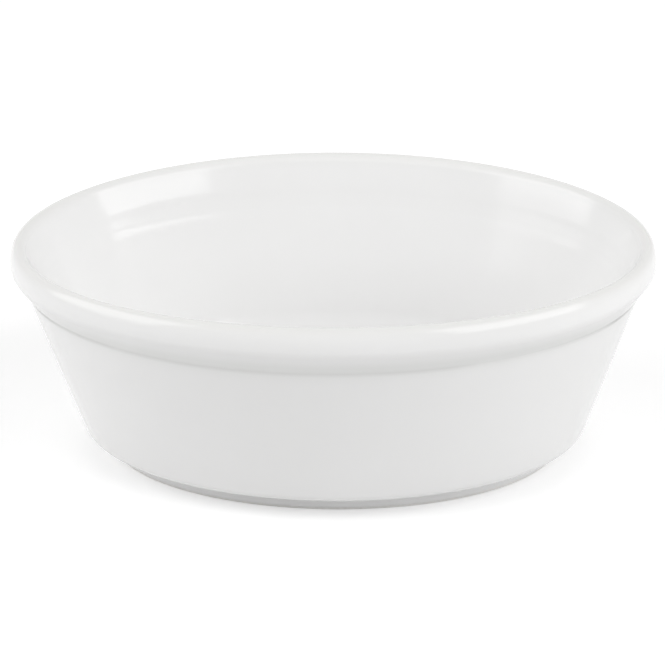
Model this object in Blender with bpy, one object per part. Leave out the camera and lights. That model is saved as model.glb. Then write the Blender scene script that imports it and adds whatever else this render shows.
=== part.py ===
"""Oval pie dish: one ceramic body, shaped and fired in one piece.

Metres, +Z up. The foot ring stands on Z = 0 and the long axis lies along X.
One wall section is carried round the oval. Each of its points has an inset,
measured inward from the widest line of the rim, and a height.
"""
from math import asin, atan2, cos, hypot, pi, radians, sin, tan

import bmesh
import bpy

# The whole dish, with its height at the middle of the long sides
RIM_LENGTH = 0.160
RIM_WIDTH = 0.124
DISH_HEIGHT = 0.0566

# The rolled rim: its bead runs from the crease at the top of the wall up to the crest,
# which dips towards the two ends of the oval
BEAD_HEIGHT = 0.0118
RIM_DIP = 0.0012
BEAD_CROWN = 0.0050
BEAD_OVERHANG = 0.0036
BEAD_LOWER_RADIUS = 0.0040
CREST_INSET = 0.0028
RIM_INNER_ROLL = 0.0030
CREASE_RADIUS = 0.0008
# Share of its thickness that the rim loses at the two ends, where the mouth reaches further out
END_THINNING = 0.28

# The wall and the floor
WALL_DRAFT = radians(18.3)
WALL_THICKNESS = 0.0048
WALL_CORNER_RADIUS = 0.0040
BASE_THICKNESS = 0.0044
FLOOR_RADIUS = 0.0140

# The foot ring that the dish stands on, and the shallow recess inside it
FOOT_HEIGHT = 0.0045
FOOT_INSET = 0.0060
FOOT_WIDTH = 0.0034
FOOT_EDGE_RADIUS = 0.0004
FOOT_ROOT_RADIUS = 0.0012
RECESS_HEIGHT = 0.0034

# The most of either side's length that the rounding of a corner takes
FILLET_SHARE = 0.48

# How finely curves are divided
OVAL_SEGMENTS = 80
BEAD_STEPS = 6
FILLET_STEPS = 3
CORNER_STEPS = 5
FLOOR_STEPS = 9

GLAZE_COLOR = (0.86, 0.86, 0.85, 1.0)
GLAZE_ROUGHNESS = 0.12
SHARP_ANGLE = radians(40.0)


def crease_height():
    """Height of the crease where the bead's underside meets the wall."""
    return DISH_HEIGHT - BEAD_HEIGHT


def outer_inset(height):
    """Inset of the wall's straight outer face at a height."""
    return BEAD_OVERHANG + (crease_height() - height) * tan(WALL_DRAFT)


def floor_height():
    """Height of the flat floor inside the dish."""
    return RECESS_HEIGHT + BASE_THICKNESS


def arc(center, radius, start, sweep, steps):
    """Points of an ellipse's arc, from the start angle back by the sweep."""
    points = []
    for step in range(steps + 1):
        angle = start - sweep * step / steps
        points.append((center[0] + radius[0] * cos(angle), center[1] + radius[1] * sin(angle)))
    return points


def bead():
    """The rolled rim, from its straight underside, over the crest, to the inner face."""
    widest = DISH_HEIGHT - BEAD_CROWN
    drop = widest - crease_height()
    # The underside leans out from the crease by the angle that meets the lower curve squarely
    lower_gap = BEAD_LOWER_RADIUS - BEAD_OVERHANG
    lean = asin(BEAD_LOWER_RADIUS / hypot(drop, lower_gap)) - atan2(lower_gap, drop)
    lower_radius = (BEAD_LOWER_RADIUS, BEAD_LOWER_RADIUS)
    points = arc((BEAD_LOWER_RADIUS, widest), lower_radius, pi + lean, lean, BEAD_STEPS)
    points += arc((CREST_INSET, widest), (CREST_INSET, BEAD_CROWN), pi, pi / 2.0, BEAD_STEPS)[1:]
    roll_center = (CREST_INSET, DISH_HEIGHT - RIM_INNER_ROLL)
    roll_radius = (RIM_INNER_ROLL, RIM_INNER_ROLL)
    points += arc(roll_center, roll_radius, pi / 2.0, pi / 2.0 - WALL_DRAFT, BEAD_STEPS)[1:]
    return points


def corners():
    """The section's corners as (inset, height, fillet radius, fillet steps), from below."""
    wall_foot = outer_inset(FOOT_HEIGHT)
    foot_outer = wall_foot + FOOT_INSET
    foot_inner = foot_outer + FOOT_WIDTH
    floor_corner = outer_inset(floor_height()) + WALL_THICKNESS
    section = [
        (foot_inner, RECESS_HEIGHT, FOOT_ROOT_RADIUS, FILLET_STEPS),
        (foot_inner, 0.0, FOOT_EDGE_RADIUS, FILLET_STEPS),
        (foot_outer, 0.0, FOOT_EDGE_RADIUS, FILLET_STEPS),
        (foot_outer, FOOT_HEIGHT, FOOT_ROOT_RADIUS, FILLET_STEPS),
        (wall_foot, FOOT_HEIGHT, WALL_CORNER_RADIUS, CORNER_STEPS),
        (BEAD_OVERHANG, crease_height(), CREASE_RADIUS, FILLET_STEPS),
    ]
    section += [(inset, height, 0.0, 0) for inset, height in bead()]
    section.append((floor_corner, floor_height(), FLOOR_RADIUS, FLOOR_STEPS))
    return section


def fillet(before, corner, after):
    """Points of the arc that rounds one corner, limited by its two sides."""
    inset, height, radius, steps = corner
    if radius == 0.0:
        return [(inset, height)]
    to_before = (before[0] - inset, before[1] - height)
    to_after = (after[0] - inset, after[1] - height)
    angle_before = atan2(to_before[1], to_before[0])
    angle_after = atan2(to_after[1], to_after[0])
    opening = (angle_after - angle_before + pi) % (2.0 * pi) - pi
    half = abs(opening) / 2.0
    longest = FILLET_SHARE * min(hypot(*to_before), hypot(*to_after))
    setback = min(radius / tan(half), longest)
    radius = setback * tan(half)
    middle = angle_before + opening / 2.0
    reach = radius / sin(half)
    center = (inset + reach * cos(middle), height + reach * sin(middle))
    sweep = pi - 2.0 * half
    turn = sweep if opening > 0.0 else -sweep
    points = []
    for step in range(steps + 1):
        angle = middle + pi + turn * (0.5 - step / steps)
        points.append((center[0] + radius * cos(angle), center[1] + radius * sin(angle)))
    return points


def reaches(section):
    """How much further out each point of the section stands at the two ends of the oval."""
    widest = min(range(len(section)), key=lambda index: section[index][0])
    roll_end = bead()[-1]
    gains = []
    for index, (inset, height) in enumerate(section):
        above_floor = (height - floor_height()) / (roll_end[1] - floor_height())
        gain = min(inset, roll_end[0] * above_floor) if index > widest else 0.0
        gains.append(END_THINNING * gain)
    return gains


def wall_section():
    """The open section from the recess's edge, round the outside, to the floor's edge."""
    section = corners()
    middle_inset = RIM_WIDTH / 2.0
    ends = [(middle_inset, RECESS_HEIGHT)] + section + [(middle_inset, floor_height())]
    points = []
    for before, corner, after in zip(ends, section, ends[2:]):
        points += fillet(before, corner, after)
    return points


def oval_ring(mesh, inset, height, reach):
    """One closed ring of vertices, an ellipse drawn in by the inset and dipped at its ends."""
    share_of_bead = max(height - crease_height(), 0.0) / BEAD_HEIGHT
    ring = []
    for segment in range(OVAL_SEGMENTS):
        angle = 2.0 * pi * segment / OVAL_SEGMENTS
        x = (RIM_LENGTH / 2.0 - inset + reach) * cos(angle)
        y = (RIM_WIDTH / 2.0 - inset) * sin(angle)
        dip = RIM_DIP * share_of_bead * cos(angle) ** 2
        ring.append(mesh.verts.new((x, y, height - dip)))
    return ring


def glaze_material():
    """White gloss glaze."""
    material = bpy.data.materials.new("white_glaze")
    material.use_nodes = True
    shader = material.node_tree.nodes["Principled BSDF"]
    shader.inputs["Base Color"].default_value = GLAZE_COLOR
    shader.inputs["Roughness"].default_value = GLAZE_ROUGHNESS
    shader.inputs["Metallic"].default_value = 0.0
    return material


def build_dish():
    """The dish's closed body: rings along the section, capped at the recess and the floor."""
    mesh = bmesh.new()
    section = wall_section()
    rings = []
    for (inset, height), reach in zip(section, reaches(section)):
        rings.append(oval_ring(mesh, inset, height, reach))
    mesh.faces.new(reversed(rings[0]))
    for lower, upper in zip(rings, rings[1:]):
        for index in range(OVAL_SEGMENTS):
            following = (index + 1) % OVAL_SEGMENTS
            mesh.faces.new((lower[index], lower[following], upper[following], upper[index]))
    mesh.faces.new(rings[-1])
    bmesh.ops.recalc_face_normals(mesh, faces=mesh.faces)
    data = bpy.data.meshes.new("dish")
    mesh.to_mesh(data)
    mesh.free()
    data.shade_smooth()
    data.set_sharp_from_angle(angle=SHARP_ANGLE)
    data.materials.append(glaze_material())
    dish = bpy.data.objects.new("dish", data)
    bpy.context.collection.objects.link(dish)
    return dish


def clear_scene():
    """Removes what the scene already holds."""
    for item in list(bpy.data.objects):
        bpy.data.objects.remove(item, do_unlink=True)


clear_scene()
build_dish()
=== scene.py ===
"""Looks of the oval pie dish: white gloss glaze over one fired body, on a pale floor.

Metres, +Z up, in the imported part's own frame. The dish is drawn again from the part's wall
section with finer rings, so that its glaze reflects cleanly, and it stands for the CAD node.
"""

from math import asin, atan2, cos, exp, hypot, pi, radians, sin, tan

import bmesh
import bpy
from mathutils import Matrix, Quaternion, Vector, noise
from numpy import interp


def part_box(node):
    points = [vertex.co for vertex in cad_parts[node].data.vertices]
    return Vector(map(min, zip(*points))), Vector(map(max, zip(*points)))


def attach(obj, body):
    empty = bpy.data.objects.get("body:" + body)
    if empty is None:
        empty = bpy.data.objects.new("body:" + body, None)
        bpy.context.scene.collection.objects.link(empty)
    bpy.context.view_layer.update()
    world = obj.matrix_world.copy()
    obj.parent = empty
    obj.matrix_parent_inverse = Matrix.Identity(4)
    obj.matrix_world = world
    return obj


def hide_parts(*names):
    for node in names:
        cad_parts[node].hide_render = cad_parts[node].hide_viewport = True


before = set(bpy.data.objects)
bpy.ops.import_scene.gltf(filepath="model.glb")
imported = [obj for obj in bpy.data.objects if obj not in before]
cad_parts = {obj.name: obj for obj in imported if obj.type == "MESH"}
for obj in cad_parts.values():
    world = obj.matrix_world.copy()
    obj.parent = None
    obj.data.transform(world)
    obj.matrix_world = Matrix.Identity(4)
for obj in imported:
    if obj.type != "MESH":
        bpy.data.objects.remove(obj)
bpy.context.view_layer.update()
dish_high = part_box("dish")[1]

# The whole dish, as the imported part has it
HALF_LENGTH = dish_high[0]
HALF_WIDTH = dish_high[1]
DISH_HEIGHT = dish_high[2]

# The rolled rim, with the part's own sizes
BEAD_HEIGHT = 0.0118
RIM_DIP = 0.0012
BEAD_CROWN = 0.0050
BEAD_OVERHANG = 0.0036
BEAD_LOWER_RADIUS = 0.0040
CREST_INSET = 0.0028
RIM_INNER_ROLL = 0.0030
CREASE_RADIUS = 0.0008
# Share of its thickness that the rim loses at the two ends, where the mouth reaches further out
END_THINNING = 0.28

# The wall and the floor
WALL_DRAFT = radians(18.3)
WALL_CORNER_RADIUS = 0.0040
BASE_THICKNESS = 0.0044
FLOOR_RADIUS = 0.0140

# The throwing ripple inside, as (depth below the rim, degrees by which the wall leans back more)
RIPPLE = (
    (0.0018, 3.8),
    (0.0042, 2.3),
    (0.0060, 1.6),
    (0.0071, 1.1),
    (0.0081, -1.6),
    (0.0090, -2.1),
    (0.0100, -0.7),
    (0.0112, -0.5),
    (0.0122, -0.1),
    (0.0131, 2.4),
    (0.0138, 1.7),
    (0.0148, -0.2),
    (0.0162, -0.5),
    (0.0176, 0.0),
)
RIPPLE_STEP = 0.00025

# The foot ring
FOOT_HEIGHT = 0.0045
FOOT_INSET = 0.0060
FOOT_WIDTH = 0.0034
FOOT_EDGE_RADIUS = 0.0004
FOOT_ROOT_RADIUS = 0.0012
RECESS_HEIGHT = 0.0034

# The most of either side's length that the rounding of a corner takes
FILLET_SHARE = 0.48

# The height at which the glaze stops, where it is wiped off before the firing, and how far it
# stands out there from the bare clay
GLAZE_LINE = 0.0007
GLAZE_STEP = 0.00012
# How far above the glaze line a point may be and still count as on it
LINE_TOLERANCE = 1e-7
# The places of the glaze and of the bare clay in the dish's list of materials
GLAZED = 0
BARE = 1

# Mesh fineness
OVAL_SEGMENTS = 288
BEAD_STEPS = 18
FILLET_STEPS = 8
CORNER_STEPS = 12
FLOOR_STEPS = 24
STEP_LENGTH = 0.0010
CAP_RINGS = 24

# Painted shade as a darker line right in the crease, as (place from the -X end at -1 to the +X
# end at 1, how dark it is there), and how far it fades out on both sides
CREASE_SHADE = (
    (-1.0, 1.0),
    (-0.9, 0.9),
    (-0.84, 0.5),
    (-0.75, 0.35),
    (-0.6, 0.22),
    (-0.4, 0.18),
    (0.0, 0.14),
    (0.4, 0.18),
    (0.5, 0.04),
    (0.65, 0.05),
    (0.8, 0.2),
    (0.87, 0.35),
    (0.91, 0.9),
    (1.0, 1.0),
)
CREASE_SHADE_REACH = 0.00035

# Painted shade under the bead: how far its middle stands out from the crease and above it,
# and how far it fades out
UNDERSIDE_SHADE_OUT = 0.0008
UNDERSIDE_SHADE_RISE = 0.0014
UNDERSIDE_SHADE_REACH = 0.0026
# How far the thin glaze of the crest, and the painted shade on the crest, fade out
THIN_REACH = 0.0024

# The glaze's gentle unevenness, which only ever takes thickness away, and the height above the
# glaze line over which it comes in
WAVE_LENGTH = 0.024
WAVE_DEPTH = 0.00006
WAVE_FADE = 0.002

# The glaze's two tones in faint clouds, and the colours of painted shade under the bead, on the
# crest and right in the crease, with the share of the first two that shows where they are strongest
GLAZE_TONES = ((0.858, 0.856, 0.852, 1.0), (0.869, 0.867, 0.864, 1.0))
UNDERSIDE_SHADE_COLOR = (0.76, 0.765, 0.752, 1.0)
UNDERSIDE_SHADE_SHARE = 0.8
CREST_SHADE_COLOR = (0.76, 0.757, 0.74, 1.0)
CREST_SHADE_SHARE = 0.85
CREASE_SHADE_COLOR = (0.40, 0.40, 0.385, 1.0)

# The glaze's roughness from its clear to its smudged places, what thin glaze adds to it, and
# how strongly the glaze bends light
GLAZE_ROUGHNESS = (0.10, 0.15)
THIN_ROUGHNESS = 0.08
GLAZE_IOR = 1.45

# The noises in the glaze, with their scales in cells a metre, and the orange peel's depth
CLOUDS = {"Scale": 28.0, "Detail": 2.0}
SMUDGES = {"Scale": 90.0, "Detail": 4.0, "Roughness": 0.6}
ORANGE_PEEL = {"Scale": 420.0, "Detail": 2.0}
PEEL_DEPTH = 0.00001

# The bare clay's two tones, its roughness, and its grain with the grain's depth
BARE_TONES = ((0.86, 0.845, 0.82, 1.0), (0.92, 0.91, 0.89, 1.0))
BARE_ROUGHNESS = 0.85
GRAIN = {"Scale": 1800.0, "Detail": 5.0, "Roughness": 0.65}
GRAIN_DEPTH = 0.00004

# The whole of a share
WHOLE = (0.0, 1.0)
# The middle part of a noise's values, which is spread over what the noise sets
NOISE_RANGE = (0.3, 0.7)
GRAIN_RANGE = (0.35, 0.65)

# Where a mix node's lists of sockets have its share, its two colours and their mix
MIX_SHARE = 0
MIX_COLORS = (6, 7)
MIX_RESULT = 2

# How bright the studio is as light, and how bright it and the floor's glow look to the eye
AMBIENT = 0.513
BACKDROP = 1.0
FLOOR_LIFT = 0.32
WHITE = (1.0, 1.0, 1.0, 1.0)
FLOOR_COLOR = (0.80, 0.80, 0.80, 1.0)
# How far the floor goes from the dish's middle, which is as far as the lamps keep it white
FLOOR_REACH = 0.55

# The lamps, as (name, azimuth and elevation in degrees, distance, (width, height), watts, roll
# in degrees). Azimuth 0 is the camera's side and 90 is +X.
LAMPS = (
    ("softbox_right", 64.8, 35.2, 1.4, (1.2, 0.95), 10.1, -13.4),
    ("softbox_left", -77.0, 31.4, 1.4, (1.21, 1.1), 5.0, 5.0),
    ("softbox_left_core", -78.7, 35.0, 1.38, (1.08, 0.86), 4.0, 13.5),
    ("fill_back", 180.0, 45.0, 1.4, (1.6, 1.2), 0.5, 0.0),
)

# The point that the camera and the lamps face, and the camera itself, found from the rim,
# crease and foot in the photograph, with its roll in radians and its lens and sensor in
# millimetres
AIM = Vector((-0.00018, 0.0, 0.0297))
CAMERA_DISTANCE = 0.6219
CAMERA_HEADING = radians(4.26)
CAMERA_HEIGHT_ANGLE = radians(23.64)
CAMERA_ROLL = -0.0137
CAMERA_LENS = 133.76
CAMERA_SENSOR = 36.0


def crease_height():
    """Height of the crease where the bead's underside meets the wall."""
    return DISH_HEIGHT - BEAD_HEIGHT


def outer_inset(height):
    """Inset of the wall's straight outer face at a height."""
    return BEAD_OVERHANG + (crease_height() - height) * tan(WALL_DRAFT)


def floor_height():
    """Height of the flat floor inside the dish."""
    return RECESS_HEIGHT + BASE_THICKNESS


def arc(center, radius, start, sweep, steps):
    """Points of an ellipse's arc, from the start angle back by the sweep."""
    points = []
    for step in range(steps + 1):
        angle = start - sweep * step / steps
        points.append((center[0] + radius[0] * cos(angle), center[1] + radius[1] * sin(angle)))
    return points


def bead():
    """The rolled rim, from its straight underside, over the crest, to the inner face."""
    widest = DISH_HEIGHT - BEAD_CROWN
    drop = widest - crease_height()
    # The underside leans out from the crease by the angle that takes it smoothly into the lower curve
    lower_gap = BEAD_LOWER_RADIUS - BEAD_OVERHANG
    lean = asin(BEAD_LOWER_RADIUS / hypot(drop, lower_gap)) - atan2(lower_gap, drop)
    lower_radius = (BEAD_LOWER_RADIUS, BEAD_LOWER_RADIUS)
    points = arc((BEAD_LOWER_RADIUS, widest), lower_radius, pi + lean, lean, BEAD_STEPS)
    points += arc((CREST_INSET, widest), (CREST_INSET, BEAD_CROWN), pi, pi / 2.0, BEAD_STEPS)[1:]
    roll_center = (CREST_INSET, DISH_HEIGHT - RIM_INNER_ROLL)
    roll_radius = (RIM_INNER_ROLL, RIM_INNER_ROLL)
    roll_sweep = pi / 2.0 - WALL_DRAFT - radians(RIPPLE[0][1])
    points += arc(roll_center, roll_radius, pi / 2.0, roll_sweep, BEAD_STEPS)[1:]
    return points


def ripple(start):
    """Points of the inner wall's throwing ripple, from the roll's end down."""
    depths, leans = zip(*RIPPLE)
    inset, height = start
    points = []
    for _ in range(round((depths[-1] - depths[0]) / RIPPLE_STEP)):
        lean = radians(float(interp(DISH_HEIGHT - height, depths, leans)))
        inset += RIPPLE_STEP * tan(WALL_DRAFT + lean)
        height -= RIPPLE_STEP
        points.append((inset, height))
    return points


def corners():
    """The section's corners as (inset, height, fillet radius, fillet steps), from below."""
    wall_foot = outer_inset(FOOT_HEIGHT)
    foot_outer = wall_foot + FOOT_INSET
    foot_inner = foot_outer + FOOT_WIDTH
    section = [
        (foot_inner + GLAZE_STEP, RECESS_HEIGHT, FOOT_ROOT_RADIUS, FILLET_STEPS),
        (foot_inner + GLAZE_STEP, GLAZE_LINE, GLAZE_STEP, FILLET_STEPS),
        (foot_inner, GLAZE_LINE, 0.0, 0),
        (foot_inner, 0.0, FOOT_EDGE_RADIUS, FILLET_STEPS),
        (foot_outer, 0.0, FOOT_EDGE_RADIUS, FILLET_STEPS),
        (foot_outer, GLAZE_LINE, 0.0, 0),
        (foot_outer - GLAZE_STEP, GLAZE_LINE, GLAZE_STEP, FILLET_STEPS),
        (foot_outer - GLAZE_STEP, FOOT_HEIGHT, FOOT_ROOT_RADIUS, FILLET_STEPS),
        (wall_foot, FOOT_HEIGHT, WALL_CORNER_RADIUS, CORNER_STEPS),
        (BEAD_OVERHANG, crease_height(), CREASE_RADIUS, FILLET_STEPS),
    ]
    rim = bead()
    rim += ripple(rim[-1])
    section += [(inset, height, 0.0, 0) for inset, height in rim]
    floor_corner = rim[-1][0] + (rim[-1][1] - floor_height()) * tan(WALL_DRAFT)
    section.append((floor_corner, floor_height(), FLOOR_RADIUS, FLOOR_STEPS))
    return section


def fillet(before, corner, after):
    """Points of the arc that rounds one corner, limited by its two sides."""
    inset, height, radius, steps = corner
    if radius == 0.0:
        return [(inset, height)]
    to_before = (before[0] - inset, before[1] - height)
    to_after = (after[0] - inset, after[1] - height)
    angle_before = atan2(to_before[1], to_before[0])
    angle_after = atan2(to_after[1], to_after[0])
    opening = (angle_after - angle_before + pi) % (2.0 * pi) - pi
    half = abs(opening) / 2.0
    longest = FILLET_SHARE * min(hypot(*to_before), hypot(*to_after))
    setback = min(radius / tan(half), longest)
    radius = setback * tan(half)
    middle = angle_before + opening / 2.0
    reach = radius / sin(half)
    center = (inset + reach * cos(middle), height + reach * sin(middle))
    sweep = pi - 2.0 * half
    turn = sweep if opening > 0.0 else -sweep
    points = []
    for step in range(steps + 1):
        angle = middle + pi + turn * (0.5 - step / steps)
        points.append((center[0] + radius * cos(angle), center[1] + radius * sin(angle)))
    return points


def divided(points, length):
    """The same line, with its longer steps divided into steps of about this length."""
    line = [points[0]]
    for start, end in zip(points, points[1:]):
        inward, up = (end[0] - start[0], end[1] - start[1])
        pieces = max(1, round(hypot(inward, up) / length))
        for piece in range(1, pieces + 1):
            share = piece / pieces
            line.append((start[0] + share * inward, start[1] + share * up))
    return line


def wall_section():
    """The open section from the recess's edge, round the outside, to the floor's edge."""
    section = corners()
    ends = [(HALF_WIDTH, RECESS_HEIGHT)] + section + [(HALF_WIDTH, floor_height())]
    points = []
    for before, corner, after in zip(ends, section, ends[2:]):
        points += fillet(before, corner, after)
    return divided(points, STEP_LENGTH)


def reaches(section):
    """How much further out each point of the section stands at the two ends of the oval."""
    widest = min(range(len(section)), key=lambda index: section[index][0])
    roll_end = bead()[-1]
    gains = []
    for index, (inset, height) in enumerate(section):
        above_floor = (height - floor_height()) / (roll_end[1] - floor_height())
        gain = min(inset, roll_end[0] * above_floor) if index > widest else 0.0
        gains.append(END_THINNING * gain)
    return gains


def ring_points(inset, height, reach):
    """Points of the ellipse drawn in by the inset, its ends reaching out and dipped at the bead."""
    share_of_bead = max(height - crease_height(), 0.0) / BEAD_HEIGHT
    points = []
    for segment in range(OVAL_SEGMENTS):
        angle = 2.0 * pi * segment / OVAL_SEGMENTS
        x = (HALF_LENGTH - inset + reach) * cos(angle)
        y = (HALF_WIDTH - inset) * sin(angle)
        dip = RIM_DIP * share_of_bead * cos(angle) ** 2
        points.append(Vector((x, y, height - dip)))
    return points


def nearness(point, spot, reach):
    """1 at a spot of the section, falling to nothing some reaches away."""
    return exp(-((point[0] - spot[0]) ** 2 + (point[1] - spot[1]) ** 2) / reach ** 2)


def underside_shade(point):
    """How strongly shade is painted under the bead at a point of the section, 0 to 1."""
    shade_middle = (BEAD_OVERHANG - UNDERSIDE_SHADE_OUT, crease_height() + UNDERSIDE_SHADE_RISE)
    return nearness(point, shade_middle, UNDERSIDE_SHADE_REACH)


def crest_thinness_and_shade(point):
    """How thin the glaze lies at a point of the section, 0 to 1; it also sets the crest's painted
    shade.
    """
    return nearness(point, (CREST_INSET, DISH_HEIGHT), THIN_REACH)


def crease_shade(point, place):
    """How much shade is painted right in the crease, 0 to 1, which varies along the dish."""
    places, shares = zip(*CREASE_SHADE)
    along = place.x / (HALF_LENGTH - BEAD_OVERHANG)
    share = float(interp(along, places, shares))
    return share * nearness(point, (BEAD_OVERHANG, crease_height()), CREASE_SHADE_REACH)


def is_bare(point):
    """True on the foot ring's ground edge, up to the glaze line."""
    return point[1] < GLAZE_LINE + LINE_TOLERANCE


def waviness(place):
    """How deep the glaze's unevenness goes at a place, which is nothing below the glaze line."""
    wave = 0.5 + 0.5 * noise.noise(place / WAVE_LENGTH)
    above_line = min(max((place.z - GLAZE_LINE) / WAVE_FADE, 0.0), 1.0)
    return WAVE_DEPTH * min(max(wave, 0.0), 1.0) * above_line


def ring_of_verts(mesh, points):
    """New vertices at a list of places."""
    return [mesh.verts.new(point) for point in points]


def join_rings(mesh, lower, upper, material=GLAZED):
    """A band of quads between two rings of vertices, glazed or bare."""
    for index in range(OVAL_SEGMENTS):
        following = (index + 1) % OVAL_SEGMENTS
        face = mesh.faces.new((lower[index], lower[following], upper[following], upper[index]))
        face.material_index = material


def cap(mesh, edge):
    """Closes a ring with rings that shrink towards its middle."""
    outline = [vert.co.copy() for vert in edge]
    middle = Vector((0.0, 0.0, outline[0].z))
    before = edge
    for step in range(1, CAP_RINGS):
        ring = ring_of_verts(mesh, [point.lerp(middle, step / CAP_RINGS) for point in outline])
        join_rings(mesh, before, ring)
        before = ring
    center = mesh.verts.new(middle)
    for index in range(OVAL_SEGMENTS):
        mesh.faces.new((before[index], before[(index + 1) % OVAL_SEGMENTS], center))


def mesh_object(name, mesh, materials):
    """A new object in the scene, from a finished mesh and its materials."""
    data = bpy.data.meshes.new(name)
    mesh.to_mesh(data)
    mesh.free()
    for material in materials:
        data.materials.append(material)
    item = bpy.data.objects.new(name, data)
    bpy.context.collection.objects.link(item)
    return item


def build_dish():
    """The glazed dish: rings along the wall section, capped at the recess and the floor."""
    mesh = bmesh.new()
    bead_shade = mesh.verts.layers.float.new("bead_shade")
    thin_and_shaded = mesh.verts.layers.float.new("thin_and_shaded")
    line = mesh.verts.layers.float.new("line")
    section = wall_section()
    rings = []
    for point, reach in zip(section, reaches(section)):
        ring = ring_of_verts(mesh, ring_points(*point, reach))
        for vert in ring:
            # Painted shade masks: under the bead, on the crest (also the thin glaze's dullness) and in
            # the crease
            vert[bead_shade] = underside_shade(point)
            vert[thin_and_shaded] = crest_thinness_and_shade(point)
            vert[line] = crease_shade(point, vert.co)
        rings.append(ring)
    for index, (lower, upper) in enumerate(zip(rings, rings[1:])):
        bare = is_bare(section[index]) and is_bare(section[index + 1])
        join_rings(mesh, lower, upper, BARE if bare else GLAZED)
    cap(mesh, rings[0])
    cap(mesh, rings[-1])
    bmesh.ops.recalc_face_normals(mesh, faces=mesh.faces)
    mesh.normal_update()
    for vert in mesh.verts:
        vert.co -= vert.normal * waviness(vert.co)
    glazed = mesh_object("glazed_dish", mesh, (glaze_material(), bare_material()))
    glazed.data.shade_smooth()
    return glazed


def new_material(name):
    """A node material with its tree and its Principled shader."""
    material = bpy.data.materials.new(name)
    material.use_nodes = True
    tree = material.node_tree
    return material, tree, tree.nodes["Principled BSDF"]


def new_node(tree, kind, values):
    """A new node, with values set on its named inputs."""
    node = tree.nodes.new(kind)
    for name, value in values.items():
        node.inputs[name].default_value = value
    return node


def noise_texture(tree, settings):
    """A noise in the dish's own coordinates."""
    texture = new_node(tree, "ShaderNodeTexNoise", settings)
    place = tree.nodes.new("ShaderNodeTexCoord")
    tree.links.new(place.outputs["Object"], texture.inputs["Vector"])
    return texture.outputs["Fac"]


def ranged(tree, value, source, target):
    """A value carried from one range to another, and held within it."""
    settings = dict(zip(("From Min", "From Max", "To Min", "To Max"), source + target))
    node = new_node(tree, "ShaderNodeMapRange", settings)
    tree.links.new(value, node.inputs["Value"])
    return node.outputs["Result"]


def mixed_color(tree, share, colors):
    """A mix of two colours; either may be a plain colour or a node's output."""
    node = tree.nodes.new("ShaderNodeMix")
    node.data_type = "RGBA"
    tree.links.new(share, node.inputs[MIX_SHARE])
    for place, color in zip(MIX_COLORS, colors):
        if isinstance(color, tuple):
            node.inputs[place].default_value = color
        else:
            tree.links.new(color, node.inputs[place])
    return node.outputs[MIX_RESULT]


def bumped(tree, shader, height, distance):
    """A bump of a height in metres on a shader."""
    node = new_node(tree, "ShaderNodeBump", {"Strength": 1.0, "Distance": distance})
    tree.links.new(height, node.inputs["Height"])
    tree.links.new(node.outputs["Normal"], shader.inputs["Normal"])


def attribute(tree, name):
    """A value painted on the mesh's vertices."""
    node = tree.nodes.new("ShaderNodeAttribute")
    node.attribute_name = name
    return node.outputs["Fac"]


def glaze_material():
    """White gloss glaze: painted shade under the bead, on the crest and in the crease; duller where
    thin.
    """
    material, tree, shader = new_material("white_glaze_gloss")
    clouds = noise_texture(tree, CLOUDS)
    color = mixed_color(tree, ranged(tree, clouds, NOISE_RANGE, WHOLE), GLAZE_TONES)
    # Painted shade: a greyer glaze under the bead, where it faces down
    bead_shade = ranged(tree, attribute(tree, "bead_shade"), WHOLE, (0.0, UNDERSIDE_SHADE_SHARE))
    color = mixed_color(tree, bead_shade, (color, UNDERSIDE_SHADE_COLOR))
    thin_and_shaded = attribute(tree, "thin_and_shaded")
    # Painted shade: a darker, warmer glaze on the crest, which tones down its lit top; thin glaze
    # dulls it too
    color = mixed_color(tree, ranged(tree, thin_and_shaded, WHOLE, (0.0, CREST_SHADE_SHARE)), (color, CREST_SHADE_COLOR))
    # Painted shade: a dark line right in the crease, darkest at the two ends
    color = mixed_color(tree, attribute(tree, "line"), (color, CREASE_SHADE_COLOR))
    tree.links.new(color, shader.inputs["Base Color"])
    smudges = noise_texture(tree, SMUDGES)
    duller = tree.nodes.new("ShaderNodeMath")
    tree.links.new(ranged(tree, smudges, NOISE_RANGE, GLAZE_ROUGHNESS), duller.inputs[0])
    tree.links.new(ranged(tree, thin_and_shaded, WHOLE, (0.0, THIN_ROUGHNESS)), duller.inputs[1])
    tree.links.new(duller.outputs["Value"], shader.inputs["Roughness"])
    bumped(tree, shader, noise_texture(tree, ORANGE_PEEL), PEEL_DEPTH)
    shader.inputs["IOR"].default_value = GLAZE_IOR
    return material


def bare_material():
    """Unglazed fired clay on the foot ring's ground edge."""
    material, tree, shader = new_material("bare_ceramic")
    grain = noise_texture(tree, GRAIN)
    color = mixed_color(tree, ranged(tree, grain, GRAIN_RANGE, WHOLE), BARE_TONES)
    tree.links.new(color, shader.inputs["Base Color"])
    shader.inputs["Roughness"].default_value = BARE_ROUGHNESS
    bumped(tree, shader, grain, GRAIN_DEPTH)
    return material


def floor_material():
    """Pale and without gloss, with a glow that the eye and a gloss see but that lights nothing."""
    material, tree, shader = new_material("floor_white")
    shader.inputs["Base Color"].default_value = FLOOR_COLOR
    shader.inputs["Roughness"].default_value = 1.0
    shader.inputs["Specular IOR Level"].default_value = 0.0
    glow = new_node(tree, "ShaderNodeEmission", {"Color": WHITE})
    lift = ranged(tree, seen_directly(tree), WHOLE, (0.0, FLOOR_LIFT))
    tree.links.new(lift, glow.inputs["Strength"])
    total = tree.nodes.new("ShaderNodeAddShader")
    tree.links.new(shader.outputs["BSDF"], total.inputs[0])
    tree.links.new(glow.outputs["Emission"], total.inputs[1])
    tree.links.new(total.outputs["Shader"], tree.nodes["Material Output"].inputs["Surface"])
    return material


def build_floor():
    """A pale floor, white to the eye, which keeps the dish's soft shadow."""
    mesh = bmesh.new()
    bmesh.ops.create_grid(mesh, x_segments=1, y_segments=1, size=FLOOR_REACH)
    return mesh_object("floor", mesh, (floor_material(),))


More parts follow.
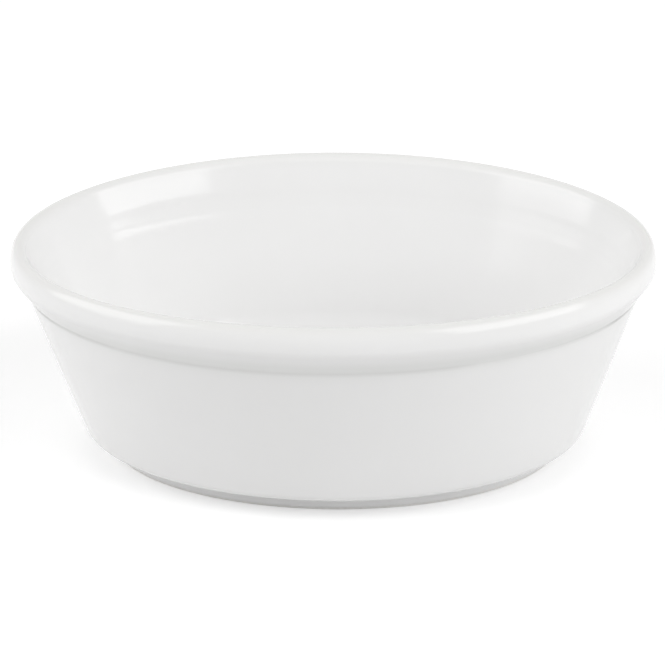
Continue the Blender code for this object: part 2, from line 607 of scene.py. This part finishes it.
def seen_directly(tree):
    """1 for what the eye, a gloss or a glass sees, and 0 for what lights other things."""
    path = tree.nodes.new("ShaderNodeLightPath")
    total = path.outputs["Is Camera Ray"]
    for name in ("Is Glossy Ray", "Is Transmission Ray"):
        node = tree.nodes.new("ShaderNodeMath")
        node.operation = "MAXIMUM"
        tree.links.new(total, node.inputs[0])
        tree.links.new(path.outputs[name], node.inputs[1])
        total = node.outputs["Value"]
    return total


def build_world():
    """Even soft light from all round, which looks white."""
    world = bpy.data.worlds.new("studio")
    world.use_nodes = True
    bpy.context.scene.world = world
    tree = world.node_tree
    background = tree.nodes["Background"]
    background.inputs["Color"].default_value = WHITE
    strength = ranged(tree, seen_directly(tree), WHOLE, (AMBIENT, BACKDROP))
    tree.links.new(strength, background.inputs["Strength"])


def face_dish(item, heading, rise, distance, roll):
    """Puts a lamp or camera in the scene, facing the dish from a distance; angles in radians."""
    away = Vector((sin(heading) * cos(rise), -cos(heading) * cos(rise), sin(rise)))
    item.location = AIM + away * distance
    item.rotation_mode = "QUATERNION"
    spin = Quaternion((0.0, 0.0, 1.0), roll)
    item.rotation_quaternion = (-away).to_track_quat("-Z", "Y") @ spin
    bpy.context.collection.objects.link(item)


def softbox(name, azimuth, elevation, distance, size, power, roll):
    """A flat lamp that faces the dish."""
    lamp = bpy.data.lights.new(name, "AREA")
    lamp.shape = "RECTANGLE"
    lamp.size, lamp.size_y = size
    lamp.energy = power
    holder = bpy.data.objects.new(name, lamp)
    face_dish(holder, radians(azimuth), radians(elevation), distance, radians(roll))


def build_lights():
    """A large softbox at each side, the left one brighter in its middle, and a weak back lamp."""
    for settings in LAMPS:
        softbox(*settings)


def build_camera():
    """The camera at the photograph's viewing angle."""
    lens = bpy.data.cameras.new("camera")
    lens.lens = CAMERA_LENS
    lens.sensor_width = CAMERA_SENSOR
    camera = bpy.data.objects.new("camera", lens)
    face_dish(camera, CAMERA_HEADING, CAMERA_HEIGHT_ANGLE, CAMERA_DISTANCE, CAMERA_ROLL)
    bpy.context.scene.camera = camera


bpy.context.scene.view_settings.view_transform = "Standard"
dish = build_dish()
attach(dish, "root")
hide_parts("dish")
build_floor()
build_world()
build_lights()
build_camera()

bpy.context.view_layer.update()
